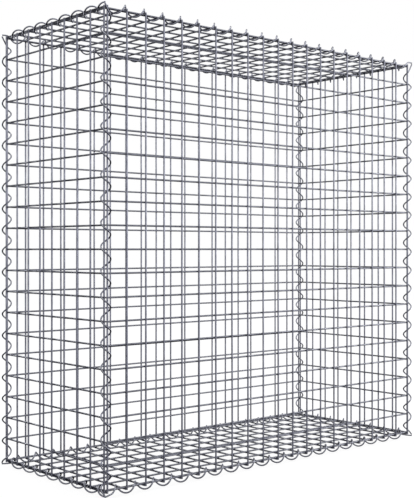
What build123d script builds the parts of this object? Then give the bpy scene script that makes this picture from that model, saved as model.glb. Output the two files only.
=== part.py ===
from build123d import *
from math import acos, cos, pi, sin, sqrt
import os

# Welded mesh gabion basket, empty and laced up, standing on its base panel.
# Millimetres, +Z up, +X along the long front, +Y to the back.
# The origin lies under the middle of the basket, on the floor.

os.makedirs("parts", exist_ok=True)

# Size of the basket, counted in square mesh cells
CELL = 50.0
CELLS_LONG = 20
CELLS_DEEP = 8
CELLS_HIGH = 20

# Wire: each round wire is drawn as a square bar of the same section area
MESH_WIRE = 4.0
SPIRAL_WIRE = 3.5
SQUARE_OF_ROUND = sqrt(pi) / 2
BAR = MESH_WIRE * SQUARE_OF_ROUND
STRAND = SPIRAL_WIRE * SQUARE_OF_ROUND

# Inner wires end just past the middle of the edge wire that they are welded to. Outer
# wires stick out past it.
OVERRUN = 0.0625 * MESH_WIRE
WALL_TAIL = 1.25 * MESH_WIRE
LID_TAIL = MESH_WIRE

# The outer face of the inner wires, out from the cell lines. Walls meet edge to edge.
# The lid and base lie with their long inner wires level with the walls' last cross
# wires, so their two long edge wires stand in from the cell line to clear those.
MEET_GAP = 0.03
WALL_WELD = BAR + OVERRUN + MEET_GAP
LID_WELD = BAR / 2 + MEET_GAP
LID_INSET = BAR / 2 - OVERRUN

# Lacing spirals: left-handed, one turn to a cell, six flats to a turn. Their flats just
# clear the pair of edge wires that runs up each corner.
FLATS = 6
RISE = CELL / FLATS
SPIRAL_PLAY = 0.05
WALL_STEP = (WALL_WELD + BAR / 2) / 2
CORNER_WIRES_REACH = (WALL_STEP + BAR / 2) * sqrt(2)
SPIRAL_RADIUS = (CORNER_WIRES_REACH + STRAND / sqrt(2) + SPIRAL_PLAY) / cos(pi / FLATS)
FLAT_RUN = 2 * SPIRAL_RADIUS * sin(pi / FLATS)
BEND = acos((FLAT_RUN**2 * cos(2 * pi / FLATS) + RISE**2) / (FLAT_RUN**2 + RISE**2))
SPIRAL_REACH = SPIRAL_RADIUS + STRAND / sqrt(2) / cos(BEND / 2)

# Steps of the spirals' axes out from the corner lines. To the side, each axis runs midway
# between the two edge wires that it laces. Up or down, it stands off so far that the
# flats just clear the edge wires, which they hang on.
ROW_STEP = WALL_WELD - BAR / 2
LONG_OUT = (ROW_STEP - LID_INSET) / 2
LONG_SIDE_REACH = ((ROW_STEP + LID_INSET) / 2 + BAR / 2) * sin(pi / FLATS)
LONG_UP = (CORNER_WIRES_REACH - LONG_SIDE_REACH) / cos(pi / FLATS) - BAR / 2
SHORT_OUT = ROW_STEP / 2
SHORT_SIDE_REACH = (SHORT_OUT + BAR / 2) * sin(pi / FLATS)
SHORT_UP = (CORNER_WIRES_REACH - SHORT_SIDE_REACH) / cos(pi / FLATS) - BAR / 2

# Derived dimensions
LENGTH = CELLS_LONG * CELL
DEPTH = CELLS_DEEP * CELL
HEIGHT = CELLS_HIGH * CELL
FOOT = SPIRAL_REACH + SHORT_UP
TOP = FOOT + HEIGHT
MIDDLE = FOOT + HEIGHT / 2

# Panels: name, plane on the cell lines facing out, cells across, cells up, weld plane,
# inset of the edge wires across, tail of the wires up. The wires that run up each plane
# lie outside, the wires across it inside.
PANELS = [
    ("front_panel", Plane((0, -DEPTH / 2, MIDDLE), (1, 0, 0), (0, -1, 0)),
     CELLS_LONG, CELLS_HIGH, WALL_WELD, 0, WALL_TAIL),
    ("back_panel", Plane((0, DEPTH / 2, MIDDLE), (-1, 0, 0), (0, 1, 0)),
     CELLS_LONG, CELLS_HIGH, WALL_WELD, 0, WALL_TAIL),
    ("left_end_panel", Plane((-LENGTH / 2, 0, MIDDLE), (0, -1, 0), (-1, 0, 0)),
     CELLS_DEEP, CELLS_HIGH, WALL_WELD, 0, WALL_TAIL),
    ("right_end_panel", Plane((LENGTH / 2, 0, MIDDLE), (0, 1, 0), (1, 0, 0)),
     CELLS_DEEP, CELLS_HIGH, WALL_WELD, 0, WALL_TAIL),
    ("lid_panel", Plane((0, 0, TOP), (1, 0, 0), (0, 0, 1)),
     CELLS_LONG, CELLS_DEEP, LID_WELD, LID_INSET, LID_TAIL),
    ("base_panel", Plane((0, 0, FOOT), (-1, 0, 0), (0, 0, -1)),
     CELLS_LONG, CELLS_DEEP, LID_WELD, LID_INSET, LID_TAIL),
]

for name, face, across, up, weld, inset, tail in PANELS:
    edge = up * CELL / 2 - inset
    with BuildPart() as panel:
        with BuildSketch(face.offset(weld - BAR)):
            with GridLocations(CELL, CELL, 1, up - 1):
                Rectangle(across * CELL + 2 * OVERRUN, BAR)
            with Locations((0, edge), (0, -edge)):
                Rectangle(across * CELL + 2 * OVERRUN, BAR)
        extrude(amount=BAR)
        with BuildSketch(face.offset(weld)):
            with GridLocations(CELL, CELL, across + 1, 1):
                Rectangle(BAR, 2 * (edge + tail))
        extrude(amount=BAR)
    panel.part.label = name
    export_step(panel.part, f"parts/{name}.step")

# Corner lines that the spirals run round
LEFT = -LENGTH / 2
RIGHT = LENGTH / 2
FRONT = -DEPTH / 2
BACK = DEPTH / 2

# Spirals: name, start of the axis at the first wire, way of the axis, where the strand
# stands at each wire, and the first and last corner of its path, counted in flats.
LONG_TURN = (-2, FLATS * CELLS_LONG + 2)
SHORT_TURN = (1, FLATS * CELLS_DEEP - 1)
HIGH_TURN = (1, FLATS * CELLS_HIGH - 1)
UP = (0, 0, 1)
DOWN = (0, 0, -1)
ALONG_X = (1, 0, 0)
ALONG_Y = (0, 1, 0)
SPIRALS = [
    ("front_lid_spiral", (LEFT, FRONT - LONG_OUT, TOP + LONG_UP), ALONG_X, UP, LONG_TURN),
    ("back_lid_spiral", (LEFT, BACK + LONG_OUT, TOP + LONG_UP), ALONG_X, UP, LONG_TURN),
    ("front_base_spiral", (LEFT, FRONT - LONG_OUT, FOOT - LONG_UP), ALONG_X, DOWN, LONG_TURN),
    ("back_base_spiral", (LEFT, BACK + LONG_OUT, FOOT - LONG_UP), ALONG_X, DOWN, LONG_TURN),
    ("left_lid_spiral", (LEFT - SHORT_OUT, FRONT, TOP + SHORT_UP), ALONG_Y, UP, SHORT_TURN),
    ("right_lid_spiral", (RIGHT + SHORT_OUT, FRONT, TOP + SHORT_UP), ALONG_Y, UP, SHORT_TURN),
    ("left_base_spiral", (LEFT - SHORT_OUT, FRONT, FOOT - SHORT_UP), ALONG_Y, DOWN, SHORT_TURN),
    ("right_base_spiral", (RIGHT + SHORT_OUT, FRONT, FOOT - SHORT_UP), ALONG_Y, DOWN, SHORT_TURN),
    ("front_left_spiral", (LEFT - WALL_STEP, FRONT - WALL_STEP, FOOT), UP, (-1, 0, 0), HIGH_TURN),
    ("front_right_spiral", (RIGHT + WALL_STEP, FRONT - WALL_STEP, FOOT), UP, (0, -1, 0), HIGH_TURN),
    ("back_right_spiral", (RIGHT + WALL_STEP, BACK + WALL_STEP, FOOT), UP, (1, 0, 0), HIGH_TURN),
    ("back_left_spiral", (LEFT - WALL_STEP, BACK + WALL_STEP, FOOT), UP, (0, 1, 0), HIGH_TURN),
]

for name, start, along, outward, (first, last) in SPIRALS:
    with BuildPart() as spiral:
        with BuildLine(Plane(start, outward, along)) as centre_line:
            Polyline(*[
                (SPIRAL_RADIUS * cos(2 * pi * flat / FLATS),
                 -SPIRAL_RADIUS * sin(2 * pi * flat / FLATS),
                 flat * RISE)
                for flat in range(first, last + 1)
            ])
        path = centre_line.wires()[0]
        with BuildSketch(Plane(path @ 0, z_dir=path % 0)):
            Rectangle(STRAND, STRAND)
        sweep(path=path, transition=Transition.RIGHT)
    spiral.part.label = name
    export_step(spiral.part, f"parts/{name}.step")
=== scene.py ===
"""An empty welded mesh gabion basket, laced shut with wire spirals.

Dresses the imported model. Every panel and every lacing spiral gets its round drawn
wire, its welds and its zinc-aluminium coat. Metres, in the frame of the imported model:
+X along the front, +Y to the back, +Z up, the floor at zero.
"""
from __future__ import annotations

import logging
import math
from dataclasses import dataclass, field
from enum import Enum

import bpy
import numpy as np
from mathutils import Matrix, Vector


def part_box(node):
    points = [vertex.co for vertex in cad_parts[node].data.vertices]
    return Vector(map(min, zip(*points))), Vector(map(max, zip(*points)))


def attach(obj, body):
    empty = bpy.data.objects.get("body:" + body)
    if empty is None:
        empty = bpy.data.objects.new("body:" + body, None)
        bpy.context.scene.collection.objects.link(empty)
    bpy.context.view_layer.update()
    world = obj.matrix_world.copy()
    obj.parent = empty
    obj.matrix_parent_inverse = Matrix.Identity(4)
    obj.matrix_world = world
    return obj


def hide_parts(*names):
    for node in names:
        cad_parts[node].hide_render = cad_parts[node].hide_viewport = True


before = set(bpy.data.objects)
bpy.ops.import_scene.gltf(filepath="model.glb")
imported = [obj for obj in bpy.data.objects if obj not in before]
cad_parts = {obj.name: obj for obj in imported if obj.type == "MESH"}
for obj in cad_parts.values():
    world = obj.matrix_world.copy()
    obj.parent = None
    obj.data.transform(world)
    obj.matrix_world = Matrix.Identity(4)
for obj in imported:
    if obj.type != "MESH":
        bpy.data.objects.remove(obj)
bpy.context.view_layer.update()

log = logging.getLogger("gabion_basket")

MM = 0.001
FULL_TURN = 2 * math.pi
BODY = "root"

X = np.array((1.0, 0.0, 0.0))
Y = np.array((0.0, 1.0, 0.0))
Z = np.array((0.0, 0.0, 1.0))


def linear(colour: str) -> tuple[float, float, float, float]:
    """Turns an sRGB hex colour into Blender's linear colour.

    Args:
        colour: Six hex digits after a hash sign.

    Returns:
        Linear red, green and blue, and an alpha of one.
    """
    shares = [int(colour[i:i + 2], 16) / 255 for i in (1, 3, 5)]
    red, green, blue = (
        share / 12.92 if share <= 0.04045 else ((share + 0.055) / 1.055) ** 2.4
        for share in shares
    )
    return red, green, blue, 1.0


def add_node(
    tree: bpy.types.NodeTree,
    kind: str,
    settings: dict[str, object] | None = None,
    inputs: dict[int | str, object] | None = None,
) -> bpy.types.Node:
    """Adds one node with its settings, input values and links.

    Args:
        tree: Node tree that takes the node.
        kind: Blender's type name of the node.
        settings: Settings of the node itself, by name.
        inputs: A value, or the output socket to link, for each input by name or number.

    Returns:
        The new node.
    """
    node = tree.nodes.new(kind)
    for name, value in (settings or {}).items():
        setattr(node, name, value)
    for key, value in (inputs or {}).items():
        if isinstance(value, bpy.types.NodeSocket):
            tree.links.new(value, node.inputs[key])
        else:
            node.inputs[key].default_value = value
    return node


def unit(vectors: np.ndarray) -> np.ndarray:
    """Scales each vector, along the last axis, to a length of one."""
    return vectors / np.linalg.norm(vectors, axis=-1, keepdims=True)


@dataclass(frozen=True)
class Ripple:
    """Two slow waves along a spiral, which never fall in step with its turns."""

    slow_rate: float
    fast_rate: float
    fast_share: float

    def at(self, turns: np.ndarray, slow_start: float, fast_start: float) -> np.ndarray:
        """Adds up the two waves.

        Args:
            turns: Places along the spiral, counted in turns.
            slow_start: Angle at which the slow wave starts.
            fast_start: Angle at which the fast wave starts.

        Returns:
            The height of the ripple at each place.
        """
        return (np.sin(self.slow_rate * turns + slow_start)
                + self.fast_share * np.sin(self.fast_rate * turns + fast_start))


class Coat(Enum):
    """Names of the two attributes of a wire's surface."""

    STRAIGHTENED = "straightened_wire"
    WELD_HEAT = "weld_heat"


@dataclass
class WireWork:
    """Round wires and weld beads, gathered into one mesh."""

    sides: int = 12
    end_bevel: float = 0.35 * MM
    # Climb from which a wire counts as upright
    steep: float = 0.9
    bead_sides: int = 8
    # Heights of a bead's rings, as angles below and above its rim
    bead_tilts: tuple[float, ...] = (-0.8, 0.0, 0.8)
    # Edges that turn by more than this many degrees look sharp
    sharp_from: float = 40
    # How much further along the coat's pattern the next wire and the next bead lie
    wire_shift: float = 100 * MM
    bead_shift: float = 10 * MM
    # What has been added so far, and how far along the coat's pattern that has come
    points: list[np.ndarray] = field(default_factory=list)
    straightened: list[np.ndarray] = field(default_factory=list)
    heat: list[np.ndarray] = field(default_factory=list)
    faces: list[tuple[int, ...]] = field(default_factory=list)
    count: int = 0
    run: float = 0.0

    def _keep(self, points: np.ndarray, straightened: np.ndarray, heat: np.ndarray) -> int:
        """Stores vertices with their attributes.

        Args:
            points: Places of the vertices.
            straightened: Their places on the same wire pulled straight.
            heat: How far the welding has burnt the coat there, from 0 to 1.

        Returns:
            The number of the first of them.
        """
        first = self.count
        self.points.append(points)
        self.straightened.append(straightened)
        self.heat.append(heat)
        self.count += len(points)
        return first

    def _close(self, first: int, rings: int, sides: int) -> None:
        """Joins rings of vertices, and the two end points kept after them, to a closed skin.

        Args:
            first: Number of the first vertex of the first ring.
            rings: How many rings there are.
            sides: How many vertices a ring has.
        """
        for r in range(rings - 1):
            low = first + r * sides
            for s in range(sides):
                n = (s + 1) % sides
                self.faces.append((low + s, low + n, low + sides + n, low + sides + s))
        last, start = first + (rings - 1) * sides, first + rings * sides
        for s in range(sides):
            n = (s + 1) % sides
            self.faces.append((start, first + n, first + s))
            self.faces.append((start + 1, last + s, last + n))

    def _normals(self, ways: np.ndarray) -> np.ndarray:
        """Carries a direction square to the wire along it, without a twist.

        Args:
            ways: Directions of the wire.

        Returns:
            The direction square to each of them.
        """
        normal = np.cross(ways[0], Z if abs(ways[0][2]) < self.steep else X)
        normals = np.empty_like(ways)
        for i, way in enumerate(ways):
            normal = unit(normal - way * np.dot(normal, way))
            normals[i] = normal
        return normals

    def add_wire(self, path: np.ndarray, radius: float, heat: np.ndarray | None = None) -> None:
        """Adds a round wire with cut and slightly bevelled ends.

        Args:
            path: Points of its centre line.
            radius: Radius of the wire.
            heat: Weld heat at each point, or None for a wire that isn't welded.
        """
        heat = np.zeros(len(path)) if heat is None else heat
        steps = np.linalg.norm(np.diff(path, axis=0), axis=1)
        along = np.concatenate(([0.0], np.cumsum(steps)))
        tangents = unit(np.gradient(path, axis=0))
        bevel = self.end_bevel
        centres = np.vstack((path[:1], path[:1] + tangents[:1] * bevel, path[1:-1],
                             path[-1:] - tangents[-1:] * bevel, path[-1:]))
        ways = np.vstack((tangents[:1], tangents, tangents[-1:]))
        places = np.concatenate((along[:1], along[:1] + bevel, along[1:-1],
                                 along[-1:] - bevel, along[-1:]))
        burns = np.concatenate((heat[:1], heat, heat[-1:]))
        radii = np.full(len(centres), radius)
        radii[[0, -1]] = radius - bevel
        normals = self._normals(ways)
        binormals = np.cross(ways, normals)

        turn = np.arange(self.sides) * FULL_TURN / self.sides
        ring = np.cos(turn)[None, :, None] * normals[:, None, :]
        ring = ring + np.sin(turn)[None, :, None] * binormals[:, None, :]
        skin = centres[:, None, :] + radii[:, None, None] * ring
        straight = np.empty_like(skin)
        straight[:, :, 0] = radii[:, None] * np.cos(turn)
        straight[:, :, 1] = radii[:, None] * np.sin(turn)
        straight[:, :, 2] = places[:, None] + self.run
        caps = np.array(((0, 0, places[0] + self.run), (0, 0, places[-1] + self.run)))
        first = self._keep(
            np.vstack((skin.reshape(-1, 3), centres[:1], centres[-1:])),
            np.vstack((straight.reshape(-1, 3), caps)),
            np.concatenate((np.repeat(burns, self.sides), burns[:1], burns[-1:])),
        )
        self._close(first, len(centres), self.sides)
        self.run += along[-1] + self.wire_shift

    def add_bead(self, centre: np.ndarray, axes: np.ndarray, spin: float) -> None:
        """Adds the squeezed-out bead of one resistance weld.

        Args:
            centre: Middle of the weld.
            axes: Three half axes as rows, the last through the thickness.
            spin: Turn of the bead about its thickness.
        """
        turn = np.arange(self.bead_sides) * FULL_TURN / self.bead_sides + spin
        unit_rings = [
            np.stack((math.cos(tilt) * np.cos(turn), math.cos(tilt) * np.sin(turn),
                      np.full(self.bead_sides, math.sin(tilt))), axis=1)
            for tilt in self.bead_tilts
        ]
        ball = np.vstack((*unit_rings, ((0, 0, -1), (0, 0, 1))))
        local = ball @ axes
        self.run += self.bead_shift
        first = self._keep(centre + local, local + (0, 0, self.run), np.ones(len(ball)))
        self._close(first, len(self.bead_tilts), self.bead_sides)

    def make(self, name: str, material: bpy.types.Material) -> bpy.types.Object:
        """Makes the Blender object of everything added.

        Args:
            name: Name of the piece.
            material: Its finish.

        Returns:
            The new object, linked to the scene.
        """
        mesh = bpy.data.meshes.new(name)
        mesh.from_pydata(np.vstack(self.points).tolist(), [], self.faces)
        straight = mesh.attributes.new(Coat.STRAIGHTENED.value, "FLOAT_VECTOR", "POINT")
        straight.data.foreach_set("vector", np.vstack(self.straightened).ravel())
        heat = mesh.attributes.new(Coat.WELD_HEAT.value, "FLOAT", "POINT")
        heat.data.foreach_set("value", np.concatenate(self.heat))
        mesh.shade_smooth()
        mesh.set_sharp_from_angle(angle=math.radians(self.sharp_from))
        mesh.materials.append(material)
        piece = bpy.data.objects.new(name, mesh)
        bpy.context.scene.collection.objects.link(piece)
        return piece


@dataclass(frozen=True)
class ZincAluminiumWire:
    """Cold drawn steel wire with a hot dipped zinc-aluminium coat.

    The coat gives a dull blue-grey sheen: cloudy in patches, with a faint crystal
    pattern and the lengthwise lines of the drawing die, and a little darker and more
    matt at the welds.
    """

    name: str
    bright: str = "#B2B4BC"
    dull: str = "#888A94"
    burnt: str = "#4E4C50"
    roughness_low: float = 0.26
    roughness_high: float = 0.46
    # Real die lines are 0.05 mm apart. They are drawn five times as coarse to show.
    die_line: float = 0.25 * MM
    die_line_length: float = 18 * MM
    die_line_depth: float = 0.02 * MM
    die_line_bump: float = 0.35
    crystal: float = 1.6 * MM
    cloud: float = 22 * MM
    cloud_depth: float = 0.05 * MM
    cloud_bump: float = 0.5
    # Values of the cloud pattern at which the coat is fully bright and fully dull
    cloud_range: tuple[float, float] = (0.32, 0.68)
    # How much the crystals and the die lines have to say in how dull the coat is
    crystal_share: float = 0.28
    die_line_share: float = 0.25
    # How much of the burnt colour a weld shows, and how much rougher it is
    weld_scorch: float = 0.2
    weld_roughness: float = 0.18

    def make(self) -> bpy.types.Material:
        """Builds the material.

        Returns:
            The new material, which reads the two attributes of the wire's surface.
        """
        material = bpy.data.materials.new(self.name)
        material.use_nodes = True
        tree = material.node_tree
        shader = tree.nodes["Principled BSDF"]
        shader.inputs["Metallic"].default_value = 1.0

        wire = add_node(tree, "ShaderNodeAttribute", {"attribute_name": Coat.STRAIGHTENED.value})
        burn = add_node(tree, "ShaderNodeAttribute", {"attribute_name": Coat.WELD_HEAT.value})
        place = wire.outputs["Vector"]

        # The three patterns: fine lines along the wire, small crystals, wide clouds
        across, lengthwise = 1 / self.die_line, 1 / self.die_line_length
        lines_place = add_node(tree, "ShaderNodeVectorMath", {"operation": "MULTIPLY"},
                               {0: place, 1: (across, across, lengthwise)})
        lines = add_node(tree, "ShaderNodeTexNoise", None,
                         {"Vector": lines_place.outputs[0], "Scale": 1.0, "Detail": 2.0})
        crystals = add_node(tree, "ShaderNodeTexVoronoi", None,
                            {"Vector": place, "Scale": 1 / self.crystal})
        clouds = add_node(tree, "ShaderNodeTexNoise", None,
                          {"Vector": place, "Scale": 1 / self.cloud, "Detail": 4.0,
                           "Roughness": 0.6})
        crystal_shade = add_node(tree, "ShaderNodeSeparateColor", None,
                                 {0: crystals.outputs["Color"]})

        # How dull the coat is: patches first, then crystals and die lines
        patches = add_node(tree, "ShaderNodeMapRange", None,
                           {"Value": clouds.outputs[0], "From Min": self.cloud_range[0],
                            "From Max": self.cloud_range[1]})
        with_crystals = add_node(tree, "ShaderNodeMix", {"data_type": "FLOAT"},
                                 {"Factor": self.crystal_share, 2: patches.outputs[0],
                                  3: crystal_shade.outputs[0]})
        dullness = add_node(tree, "ShaderNodeMix", {"data_type": "FLOAT"},
                            {"Factor": self.die_line_share, 2: with_crystals.outputs[0],
                             3: lines.outputs[0]})

        # Colour: bright to dull, a little burnt at the welds
        coat = add_node(tree, "ShaderNodeMix", {"data_type": "RGBA"},
                        {"Factor": dullness.outputs[0], 6: linear(self.bright),
                         7: linear(self.dull)})
        scorch = add_node(tree, "ShaderNodeMath", {"operation": "MULTIPLY"},
                          {0: burn.outputs["Fac"], 1: self.weld_scorch})
        colour = add_node(tree, "ShaderNodeMix", {"data_type": "RGBA"},
                          {"Factor": scorch.outputs[0], 6: coat.outputs[2],
                           7: linear(self.burnt)})

        # Gloss: dull patches and welds are rougher
        roughness = add_node(tree, "ShaderNodeMapRange", None,
                             {"Value": dullness.outputs[0], "To Min": self.roughness_low,
                              "To Max": self.roughness_high})
        matt = add_node(tree, "ShaderNodeMath", {"operation": "MULTIPLY_ADD"},
                        {0: burn.outputs["Fac"], 1: self.weld_roughness,
                         2: roughness.outputs[0]})

        # Relief: the die lines, over a slightly lumpy coat
        line_bump = add_node(tree, "ShaderNodeBump", None,
                             {"Strength": self.die_line_bump, "Distance": self.die_line_depth,
                              "Height": lines.outputs[0]})
        bump = add_node(tree, "ShaderNodeBump", None,
                        {"Strength": self.cloud_bump, "Distance": self.cloud_depth,
                         "Height": clouds.outputs[0], "Normal": line_bump.outputs[0]})
        tree.links.new(colour.outputs[2], shader.inputs["Base Color"])
        tree.links.new(matt.outputs[0], shader.inputs["Roughness"])
        tree.links.new(bump.outputs[0], shader.inputs["Normal"])
        return material


@dataclass(frozen=True)
class Grid:
    """Sizes that every part of the basket shares."""

    cell: float = 50 * MM
    cells_long: int = 20
    cells_deep: int = 8
    cells_high: int = 20
    mesh_radius: float = 2.0 * MM
    # From the middle of the inner wires to that of the outer wires welded on them
    layer_step: float = 3.98 * MM
    # Welds, out from the cell lines. The lid and base lie closer in than the walls.
    wall_weld: float = 2.84 * MM
    lid_weld: float = 2.02 * MM
    # The long edge wires of the lid and base stand in from the cell lines
    lid_inset: float = 3.2 * MM
    # How far wires run past the middle of the last one crossed: the outer wires beyond
    # it, the inner ones just short of it
    tail: float = 5.0 * MM
    row_end: float = -1.2 * MM
    spiral_radius: float = 1.75 * MM
    coil_radius: float = 10.1 * MM

    @property
    def half_long(self) -> float:
        """Half of the cell lines' extent along the front."""
        return self.cells_long * self.cell / 2

    @property
    def half_deep(self) -> float:
        """Half of the cell lines' extent from front to back."""
        return self.cells_deep * self.cell / 2

    @property
    def height(self) -> float:
        """Cell lines' extent upward."""
        return self.cells_high * self.cell

    @property
    def foot(self) -> float:
        """Height of the lowest cell line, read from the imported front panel."""
        low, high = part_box("front_panel")
        return (low[2] + high[2]) / 2 - self.height / 2

    @property
    def top(self) -> float:
        """Height of the highest cell line."""
        return self.foot + self.height


GRID = Grid()


class Side(Enum):
    """Name of a panel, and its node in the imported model."""

    FRONT = "front_panel"
    BACK = "back_panel"
    LEFT = "left_end_panel"
    RIGHT = "right_end_panel"
    LID = "lid_panel"
    BASE = "base_panel"


@dataclass
class WeldedPanel:
    """One flat panel of welded mesh.

    The wires that run up the panel lie outside, the wires across it inside.
    """

    side: Side
    # Middle of the panel's cell lines, its way across and its way out
    origin: np.ndarray
    right: np.ndarray
    outward: np.ndarray
    cells_across: int
    cells_up: int
    # Plane of the welds, out from the cell lines
    weld: float
    # How far the first and last wire stand in from their cell lines, or out if below zero
    row_inset: float = 0.0
    column_insets: tuple[float, float] = (0.0, 0.0)
    # Sway of the whole panel along the rows, up the columns and outward, in two waves
    # that are given as radians from the middle to the edge, across and up
    sway: float = 0.45 * MM
    sway_shares: tuple[float, float, float] = (0.5, 0.5, 1.5)
    slow_wave: tuple[float, float] = (2.1, 2.6)
    fast_wave: tuple[float, float] = (5.3, 4.7)
    fast_share: float = 0.5
    # Most that a single wire stands off the true grid
    misplaced: float = 0.22 * MM
    # Length of wire that a weld heats to either side, and the least step along a wire
    burnt_reach: float = 4.0 * MM
    least_step: float = 0.8 * MM
    # Half width and half thickness of a weld's bead, and the range of widths as shares
    bead_half: float = 2.35 * MM
    bead_thick: float = 0.95 * MM
    bead_range: tuple[float, float] = (0.88, 1.14)
    seed: int = 7

    def __post_init__(self) -> None:
        """Draws where this panel's wires stray from the true grid."""
        rng = np.random.default_rng(self.seed)
        self.columns = self._lines(self.cells_across, self.column_insets, rng)
        self.rows = self._lines(self.cells_up, (self.row_inset, self.row_inset), rng)
        self.waves = rng.uniform(0, FULL_TURN, (len(self.sway_shares), 4))
        self.bead_spin = rng.uniform(0, FULL_TURN, (len(self.columns), len(self.rows)))
        self.bead_size = rng.uniform(*self.bead_range, (len(self.columns), len(self.rows), 2))
        self.up = np.cross(self.outward, self.right)

    def _lines(self, cells: int, insets: tuple[float, float],
               rng: np.random.Generator) -> np.ndarray:
        """Places parallel wires, all but the outer two slightly off the grid.

        Args:
            cells: Number of cells between the outer two.
            insets: How far the first and the last stand in from their cell lines.
            rng: Source of the small errors.

        Returns:
            The places, from one edge to the other.
        """
        lines = (np.arange(cells + 1) - cells / 2) * GRID.cell
        lines[1:-1] += rng.normal(0, self.misplaced / 2, cells - 1).clip(
            -self.misplaced, self.misplaced)
        lines[[0, -1]] += (insets[0], -insets[1])
        return lines

    def _place(self, across: np.ndarray, up: np.ndarray, out: float) -> np.ndarray:
        """Points on the panel, with its slight sway, which dies out at the edges.

        Args:
            across: Distances along the panel's rows.
            up: Distances along its columns.
            out: Distance out from the cell lines.

        Returns:
            The points in the basket's frame.
        """
        u = across / (self.cells_across * GRID.cell / 2)
        v = up / (self.cells_up * GRID.cell / 2)
        fade = np.clip(1 - u**2, 0, 1) * np.clip(1 - v**2, 0, 1)
        slow, fast = self.slow_wave, self.fast_wave
        shift = [
            fade * self.sway * share * (
                np.sin(slow[0] * u + a) * np.sin(slow[1] * v + b)
                + self.fast_share * np.sin(fast[0] * u + c) * np.sin(fast[1] * v + d))
            for share, (a, b, c, d) in zip(self.sway_shares, self.waves)
        ]
        return (self.origin + np.outer(across + shift[0], self.right)
                + np.outer(up + shift[1], self.up) + np.outer(out + shift[2], self.outward))

    def _stations(self, crossings: np.ndarray, past: float) -> tuple[np.ndarray, np.ndarray]:
        """Places along a wire, three to a weld, and the weld heat at each.

        Args:
            crossings: Where the wire crosses the wires that it is welded to.
            past: How far its ends are past the first and last of them.

        Returns:
            The places and their heat.
        """
        reach = self.burnt_reach
        welds = np.stack((crossings - reach, crossings, crossings + reach), axis=1).ravel()
        heat = np.tile((0.0, 1.0, 0.0), len(crossings))
        start, end = crossings[0] - past, crossings[-1] + past
        inside = (welds > start + self.least_step) & (welds < end - self.least_step)
        end_heat = max(0.0, 1 - abs(past) / reach)
        return (np.concatenate(((start,), welds[inside], (end,))),
                np.concatenate(((end_heat,), heat[inside], (end_heat,))))

    def _add_beads(self, work: WireWork) -> None:
        """Adds a bead to every crossing.

        Args:
            work: Mesh that takes the beads.
        """
        for i, column in enumerate(self.columns):
            centres = self._place(np.full(len(self.rows), column), self.rows, self.weld)
            for j, centre in enumerate(centres):
                wide, tall = self.bead_size[i, j] * self.bead_half
                axes = np.array((self.right * wide, self.up * tall,
                                 self.outward * self.bead_thick))
                work.add_bead(centre, axes, self.bead_spin[i, j])

    def build(self, finish: bpy.types.Material) -> bpy.types.Object:
        """Makes the panel's piece.

        Args:
            finish: Material of the wire.

        Returns:
            The new object.
        """
        work = WireWork()
        outside = self.weld + GRID.layer_step / 2
        inside = self.weld - GRID.layer_step / 2
        up, heat = self._stations(self.rows, GRID.tail)
        for column in self.columns:
            path = self._place(np.full(len(up), column), up, outside)
            work.add_wire(path, GRID.mesh_radius, heat)
        across, heat = self._stations(self.columns, GRID.row_end)
        for row in self.rows:
            path = self._place(across, np.full(len(across), row), inside)
            work.add_wire(path, GRID.mesh_radius, heat)
        self._add_beads(work)
        return work.make(self.side.value.replace("panel", "mesh"), finish)

    def dress(self, piece: bpy.types.Object) -> None:
        """Puts the piece in the place of the panel's node.

        Args:
            piece: The panel's own piece.
        """
        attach(piece, BODY)
        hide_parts(self.side.value)


class Hand(Enum):
    """Way that a spiral winds, as the sign of its turn."""

    LEFT = 1
    RIGHT = -1


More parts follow.
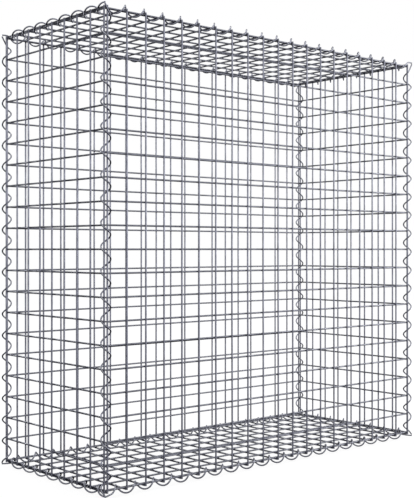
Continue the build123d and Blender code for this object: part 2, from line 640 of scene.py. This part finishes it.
@dataclass
class LacingSpiral:
    """One spiral that laces two panels together along an edge.

    It makes one turn to a cell and stands outward at each welded wire. Either end may be
    drawn out to a tip, which stands off the basket's corner.
    """

    node: str
    # Axis of the spiral: its start, its way, and the way out at each welded wire
    start: np.ndarray
    along: np.ndarray
    outward: np.ndarray
    hand: Hand
    # Between which turns, counted from the start, the spiral is regular
    turns: tuple[float, float]
    first_tip: np.ndarray | None = None
    last_tip: np.ndarray | None = None
    # Share of the way to a tip for which the drawn-out end keeps on the spiral's course,
    # and the share of what is left over which it turns in to the tip
    swing: float = 0.4
    turn_in: float = 0.35
    points_per_turn: int = 28
    points_per_end: int = 12
    # Unevenness of the coil's radius, as a share of it, and of its turn, in radians
    uneven: float = 0.012
    radius_ripple: Ripple = Ripple(1.9, 4.3, 0.6)
    drift: float = 0.03
    drift_ripple: Ripple = Ripple(1.3, 3.1, 0.7)
    seed: int = 11

    def _helix(self) -> np.ndarray:
        """Follows the regular part of the spiral.

        Returns:
            Points of its centre line.
        """
        first, last = self.turns
        turns = np.linspace(first, last, round((last - first) * self.points_per_turn) + 1)
        rng = np.random.default_rng(self.seed)
        a, b, c, d = rng.uniform(0, FULL_TURN, 4)
        radius = GRID.coil_radius * (1 + self.uneven * self.radius_ripple.at(turns, a, b))
        angle = FULL_TURN * turns + self.drift * self.drift_ripple.at(turns, c, d)
        sideways = np.cross(self.along, self.outward) * self.hand.value
        return (self.start + np.outer(radius * np.cos(angle), self.outward)
                - np.outer(radius * np.sin(angle), sideways)
                + np.outer(turns * GRID.cell, self.along))

    def _draw_out(self, path: np.ndarray, tip: np.ndarray | None) -> np.ndarray:
        """Lengthens a path in a smooth curve to a tip.

        Args:
            path: Points of the path.
            tip: Where it is to end, or None to leave it.

        Returns:
            The points of the path and of the curve.
        """
        if tip is None:
            return path
        reach = np.linalg.norm(tip - path[-1])
        lead = path[-1] + unit(path[-1] - path[-2]) * reach * self.swing
        land = tip + (lead - tip) * self.turn_in
        share = np.linspace(0, 1, self.points_per_end + 1)[1:, None]
        rest = 1 - share
        curve = (rest**3 * path[-1] + 3 * rest**2 * share * lead
                 + 3 * rest * share**2 * land + share**3 * tip)
        return np.vstack((path, curve))

    def _path(self) -> np.ndarray:
        """Points of the whole centre line."""
        path = self._draw_out(self._helix(), self.last_tip)
        return self._draw_out(path[::-1], self.first_tip)[::-1]

    def build(self, finish: bpy.types.Material) -> bpy.types.Object:
        """Makes the spiral's piece.

        Args:
            finish: Material of the wire.

        Returns:
            The new object.
        """
        work = WireWork()
        work.add_wire(self._path(), GRID.spiral_radius)
        return work.make(self.node.replace("spiral", "lacing"), finish)

    def dress(self, piece: bpy.types.Object) -> None:
        """Puts the piece in the place of the spiral's node.

        Args:
            piece: The spiral's own piece.
        """
        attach(piece, BODY)
        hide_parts(self.node)


@dataclass(frozen=True)
class Level:
    """Lid or base, with what sets the lacing round it apart."""

    name: str
    # Height of its cell lines and its way out
    line: float
    outward: np.ndarray
    short_hand: Hand
    # Tips at the corners, out from the cell lines, and how the long spirals reach them
    tip_beyond: float
    swing: float

    @property
    def tip(self) -> float:
        """Height of the tips at the corners."""
        return self.line + self.outward[2] * self.tip_beyond


@dataclass
class Basket:
    """The whole basket: six panels and twelve lacing spirals."""

    # Turns at which the spirals' regular parts stop, in from the corner lines
    long_stop: float = 0.22
    short_near: float = 0.01
    short_far: float = 0.25
    # Turns at which those of the uprights start and stop, up from the lowest cell line
    high_turns: tuple[float, float] = (0.0, 19.62)
    # Tips at the corners, out from the corner line on both sides, beyond the lid or base
    tip_out: float = 11.0 * MM
    lid_tip_up: float = 8.6 * MM
    base_tip_down: float = 9.4 * MM
    # Each upright's end lies against the long spiral's there, beside it and inside it
    tip_beside: float = 1.8 * MM
    tip_inside: float = 2.6 * MM
    # How long the drawn-out ends keep on the course of their spiral
    lid_swing: float = 0.4
    base_swing: float = 0.15
    high_swing: float = 0.15
    # Steps of the spirals' axes out from the corner lines
    long_out: float = -0.6 * MM
    long_up: float = 2.1 * MM
    short_out: float = 0.43 * MM
    short_up: float = 2.1 * MM
    high_out: float = 2.42 * MM
    # How far the lacing at the back right pulls each edge wire out towards the other
    pulled: float = 1.3 * MM
    first_spiral_seed: int = 40

    def panels(self) -> list[WeldedPanel]:
        """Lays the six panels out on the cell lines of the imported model.

        Returns:
            Front, back, left end, right end, lid and base.
        """
        half_long, half_deep = GRID.half_long, GRID.half_deep
        foot, top = GRID.foot, GRID.top
        middle = Z * (foot + top) / 2
        long, deep, high = GRID.cells_long, GRID.cells_deep, GRID.cells_high
        wall, lid = GRID.wall_weld, (GRID.lid_weld, GRID.lid_inset)
        return [
            WeldedPanel(Side.FRONT, middle - Y * half_deep, X, -Y, long, high, wall, seed=21),
            WeldedPanel(Side.BACK, middle + Y * half_deep, -X, Y, long, high, wall,
                        column_insets=(-self.pulled, 0.0), seed=22),
            WeldedPanel(Side.LEFT, middle - X * half_long, -Y, -X, deep, high, wall, seed=23),
            WeldedPanel(Side.RIGHT, middle + X * half_long, Y, X, deep, high, wall,
                        column_insets=(0.0, -self.pulled), seed=24),
            WeldedPanel(Side.LID, Z * top, X, Z, long, deep, *lid, seed=25),
            WeldedPanel(Side.BASE, Z * foot, -X, -Z, long, deep, *lid, seed=26),
        ]

    def _corner(self, right: int, back: int, out: float, height: float) -> np.ndarray:
        """Finds a point off one of the upright corner lines.

        Args:
            right: 1 for the right end, -1 for the left end.
            back: 1 for the back, -1 for the front.
            out: Distance out from the corner line, on both sides alike.
            height: Height of the point.

        Returns:
            The point.
        """
        return np.array((right * (GRID.half_long + out), back * (GRID.half_deep + out), height))

    def _round_level(self, level: Level) -> list[LacingSpiral]:
        """Lays out the spirals round the lid or the base.

        Args:
            level: The lid or the base.

        Returns:
            Front, back, left and right spiral.
        """
        half_long, half_deep = GRID.half_long, GRID.half_deep
        outward = level.outward
        long_line = level.line * Z + outward * self.long_up
        short_line = level.line * Z + outward * self.short_up
        deep, out = half_deep + self.long_out, half_long + self.short_out
        long_turns = (self.long_stop, GRID.cells_long - self.long_stop)
        left_turns = (self.short_near, GRID.cells_deep - self.short_far)
        right_turns = (self.short_far, GRID.cells_deep - self.short_near)
        long_spirals = [
            LacingSpiral(f"{side}_{level.name}_spiral",
                         -X * half_long + back * Y * deep + long_line, X, outward, Hand.LEFT,
                         long_turns, self._corner(-1, back, self.tip_out, level.tip),
                         self._corner(1, back, self.tip_out, level.tip), level.swing)
            for side, back in (("front", -1), ("back", 1))
        ]
        short_spirals = [
            LacingSpiral(f"{side}_{level.name}_spiral",
                         right * X * out - Y * half_deep + short_line, Y, outward,
                         level.short_hand, turns)
            for side, right, turns in (("left", -1, left_turns), ("right", 1, right_turns))
        ]
        return long_spirals + short_spirals

    def _upright(self, name: str, right: int, back: int, low: float, high: float) -> LacingSpiral:
        """Lays out the spiral up one corner.

        Args:
            name: Name of the corner.
            right: 1 for the right end, -1 for the left end.
            back: 1 for the back, -1 for the front.
            low: Height of its lower tip.
            high: Height of its upper tip.

        Returns:
            The spiral.
        """
        beside = (X + Y) * self.tip_beside
        return LacingSpiral(
            f"{name}_spiral", self._corner(right, back, self.high_out, GRID.foot), Z, right * X,
            Hand.LEFT if right == back else Hand.RIGHT, self.high_turns,
            self._corner(right, back, self.tip_out, low) + beside,
            self._corner(right, back, self.tip_out, high) + beside, self.high_swing)

    def spirals(self) -> list[LacingSpiral]:
        """Lays out the twelve spirals, each round the pair of edge wires that it laces.

        Returns:
            Four round the lid, four round the base and four up the corners.
        """
        lid = Level("lid", GRID.top, Z, Hand.LEFT, self.lid_tip_up, self.lid_swing)
        base = Level("base", GRID.foot, -Z, Hand.RIGHT, self.base_tip_down, self.base_swing)
        low, high = base.tip + self.tip_inside, lid.tip - self.tip_inside
        spirals = self._round_level(lid) + self._round_level(base) + [
            self._upright(name, right, back, low, high)
            for name, right, back in (("front_left", -1, -1), ("front_right", 1, -1),
                                      ("back_right", 1, 1), ("back_left", -1, 1))
        ]
        for number, spiral in enumerate(spirals):
            spiral.seed = self.first_spiral_seed + number
        return spirals

    def build(self) -> None:
        """Makes, dresses and reports every piece."""
        mesh_finish = ZincAluminiumWire("zinc_aluminium_coated_mesh_wire").make()
        spiral_finish = ZincAluminiumWire("zinc_aluminium_coated_spiral_wire",
                                          bright="#B7B9C2", dull="#8C8E98",
                                          roughness_low=0.14, roughness_high=0.3).make()
        parts = [(panel, mesh_finish) for panel in self.panels()]
        parts += [(spiral, spiral_finish) for spiral in self.spirals()]
        for part, finish in parts:
            piece = part.build(finish)
            part.dress(piece)
            log.info("%s: %d faces", piece.name, len(piece.data.polygons))


@dataclass(frozen=True)
class WhiteFloorPaint:
    """Matt white floor paint, rolled on.

    It looks flat and even. A glow of its own makes it nearly as pale as the backdrop, so
    that only a faint shadow of the basket shows on it.
    """

    name: str = "matt_white_floor_paint"
    base: str = "#707070"
    glow: str = "#FFFFFF"
    glow_strength: float = 0.91
    roughness: float = 0.9
    specular: float = 0.1

    def make(self) -> bpy.types.Material:
        """Builds the material.

        Returns:
            The new material.
        """
        paint = bpy.data.materials.new(self.name)
        paint.use_nodes = True
        shader = paint.node_tree.nodes["Principled BSDF"]
        shader.inputs["Base Color"].default_value = linear(self.base)
        shader.inputs["Roughness"].default_value = self.roughness
        shader.inputs["Specular IOR Level"].default_value = self.specular
        shader.inputs["Emission Color"].default_value = linear(self.glow)
        shader.inputs["Emission Strength"].default_value = self.glow_strength
        return paint


@dataclass(frozen=True)
class Softbox:
    """A square lamp that faces the middle of the basket."""

    name: str
    place: tuple[float, float, float]
    side: float
    watts: float

    def hang(self) -> None:
        """Adds the lamp to the scene."""
        data = bpy.data.lights.new(self.name, "AREA")
        data.size = self.side
        data.energy = self.watts
        lamp = bpy.data.objects.new(self.name, data)
        lamp.location = self.place
        aim = Vector((0, 0, GRID.foot + GRID.height / 2)) - lamp.location
        lamp.rotation_euler = aim.to_track_quat("-Z", "Y").to_euler()
        bpy.context.scene.collection.objects.link(lamp)


@dataclass
class Studio:
    """Pale floor, soft light from above and the camera of the photograph."""

    floor_half: float = 6.0
    floor_drop: float = 0.2 * MM
    # Greys of the sky by height, from straight down at -1 to straight up at 1
    sky: tuple[tuple[float, str], ...] = (
        (-1, "#101010"),
        (-0.35, "#212121"),
        (-0.2, "#59595D"),
        (-0.08, "#AEAEB7"),
        (0.2, "#BCBCC5"),
        (0.32, "#828285"),
        (0.7, "#6F6F6F"),
        (0.9, "#959595"),
        (1.0, "#E7E7E7"),
    )
    sky_strength: float = 2.25
    # The sky is dimmer behind the left end: the way there, how far a way has to point
    # there for the dimming to start and to be full, and the share of light that is left
    dim_way: tuple[float, float, float] = (-0.66, 0.75, 0.0)
    dim_range: tuple[float, float] = (0.3, 0.9)
    dim_share: float = 0.15
    # What the camera itself sees of the sky
    backdrop: str = "#FFFFFF"
    lamps: tuple[Softbox, ...] = (
        Softbox("overhead_softbox", (0.0, 0.0, 3.6), 1.6, 12),
        Softbox("front_right_softbox", (1.6, -1.2, 0.9), 0.8, 6),
        Softbox("back_left_softbox", (-1.0, 1.9, 1.0), 0.6, 6),
    )
    # Camera: its place, the height counted from the lowest cell line, its turn from +Y
    # in degrees, and its lens and picture width in millimetres
    camera_place: tuple[float, float, float] = (-1.6865, -1.8771, 0.5006)
    camera_turn: float = -41.117
    lens: float = 71.387
    picture_width: float = 36

    def add_floor(self) -> None:
        """Lays a matt white floor that only the camera sees."""
        mesh = bpy.data.meshes.new("studio_floor")
        h, z = self.floor_half, -self.floor_drop
        mesh.from_pydata([(-h, -h, z), (h, -h, z), (h, h, z), (-h, h, z)], [], [(0, 1, 2, 3)])
        mesh.materials.append(WhiteFloorPaint().make())
        floor = bpy.data.objects.new("studio_floor", mesh)
        bpy.context.scene.collection.objects.link(floor)
        floor.visible_glossy = False
        floor.visible_diffuse = False

    def add_sky(self) -> None:
        """Lights the studio: brightest overhead and round the horizon, dark below it."""
        world = bpy.data.worlds.new("soft_studio")
        bpy.context.scene.world = world
        world.use_nodes = True
        tree = world.node_tree
        tree.nodes.clear()
        way = add_node(tree, "ShaderNodeTexCoord")
        height = add_node(tree, "ShaderNodeSeparateXYZ", None, {0: way.outputs["Generated"]})
        share = add_node(tree, "ShaderNodeMapRange", None,
                         {"Value": height.outputs[2], "From Min": -1.0, "From Max": 1.0})
        ramp = add_node(tree, "ShaderNodeValToRGB", None, {0: share.outputs[0]})
        elements = ramp.color_ramp.elements
        for height_here, _ in self.sky[1:-1]:
            elements.new((height_here + 1) / 2)
        for element, (height_here, grey) in zip(elements, self.sky):
            element.position = (height_here + 1) / 2
            element.color = linear(grey)
        facing = add_node(tree, "ShaderNodeVectorMath", {"operation": "DOT_PRODUCT"},
                          {0: way.outputs["Generated"], 1: self.dim_way})
        strength = add_node(tree, "ShaderNodeMapRange", {"interpolation_type": "SMOOTHSTEP"},
                            {"Value": facing.outputs["Value"], "From Min": self.dim_range[0],
                             "From Max": self.dim_range[1], "To Min": self.sky_strength,
                             "To Max": self.sky_strength * self.dim_share})
        light = add_node(tree, "ShaderNodeBackground", None,
                         {0: ramp.outputs[0], 1: strength.outputs[0]})
        backdrop = add_node(tree, "ShaderNodeBackground", None,
                            {0: linear(self.backdrop), 1: 1.0})
        ray = add_node(tree, "ShaderNodeLightPath")
        mix = add_node(tree, "ShaderNodeMixShader", None,
                       {0: ray.outputs["Is Camera Ray"], 1: light.outputs[0],
                        2: backdrop.outputs[0]})
        add_node(tree, "ShaderNodeOutputWorld", None, {0: mix.outputs[0]})
        bpy.context.scene.view_settings.view_transform = "Standard"

    def add_camera(self) -> None:
        """Stands the camera where the photograph was taken from."""
        data = bpy.data.cameras.new("photo_camera")
        data.sensor_width = self.picture_width
        data.lens = self.lens
        camera = bpy.data.objects.new("photo_camera", data)
        x, y, above_foot = self.camera_place
        camera.location = (x, y, GRID.foot + above_foot)
        camera.rotation_euler = (math.pi / 2, 0, math.radians(self.camera_turn))
        bpy.context.scene.collection.objects.link(camera)
        bpy.context.scene.camera = camera

    def build(self) -> None:
        """Sets up floor, light and camera."""
        self.add_floor()
        self.add_sky()
        for lamp in self.lamps:
            lamp.hang()
        self.add_camera()


def main() -> None:
    """Builds the basket and the studio."""
    logging.basicConfig(level=logging.INFO, format="%(name)s: %(message)s")
    Basket().build()
    Studio().build()


if __name__ == "__main__":
    main()
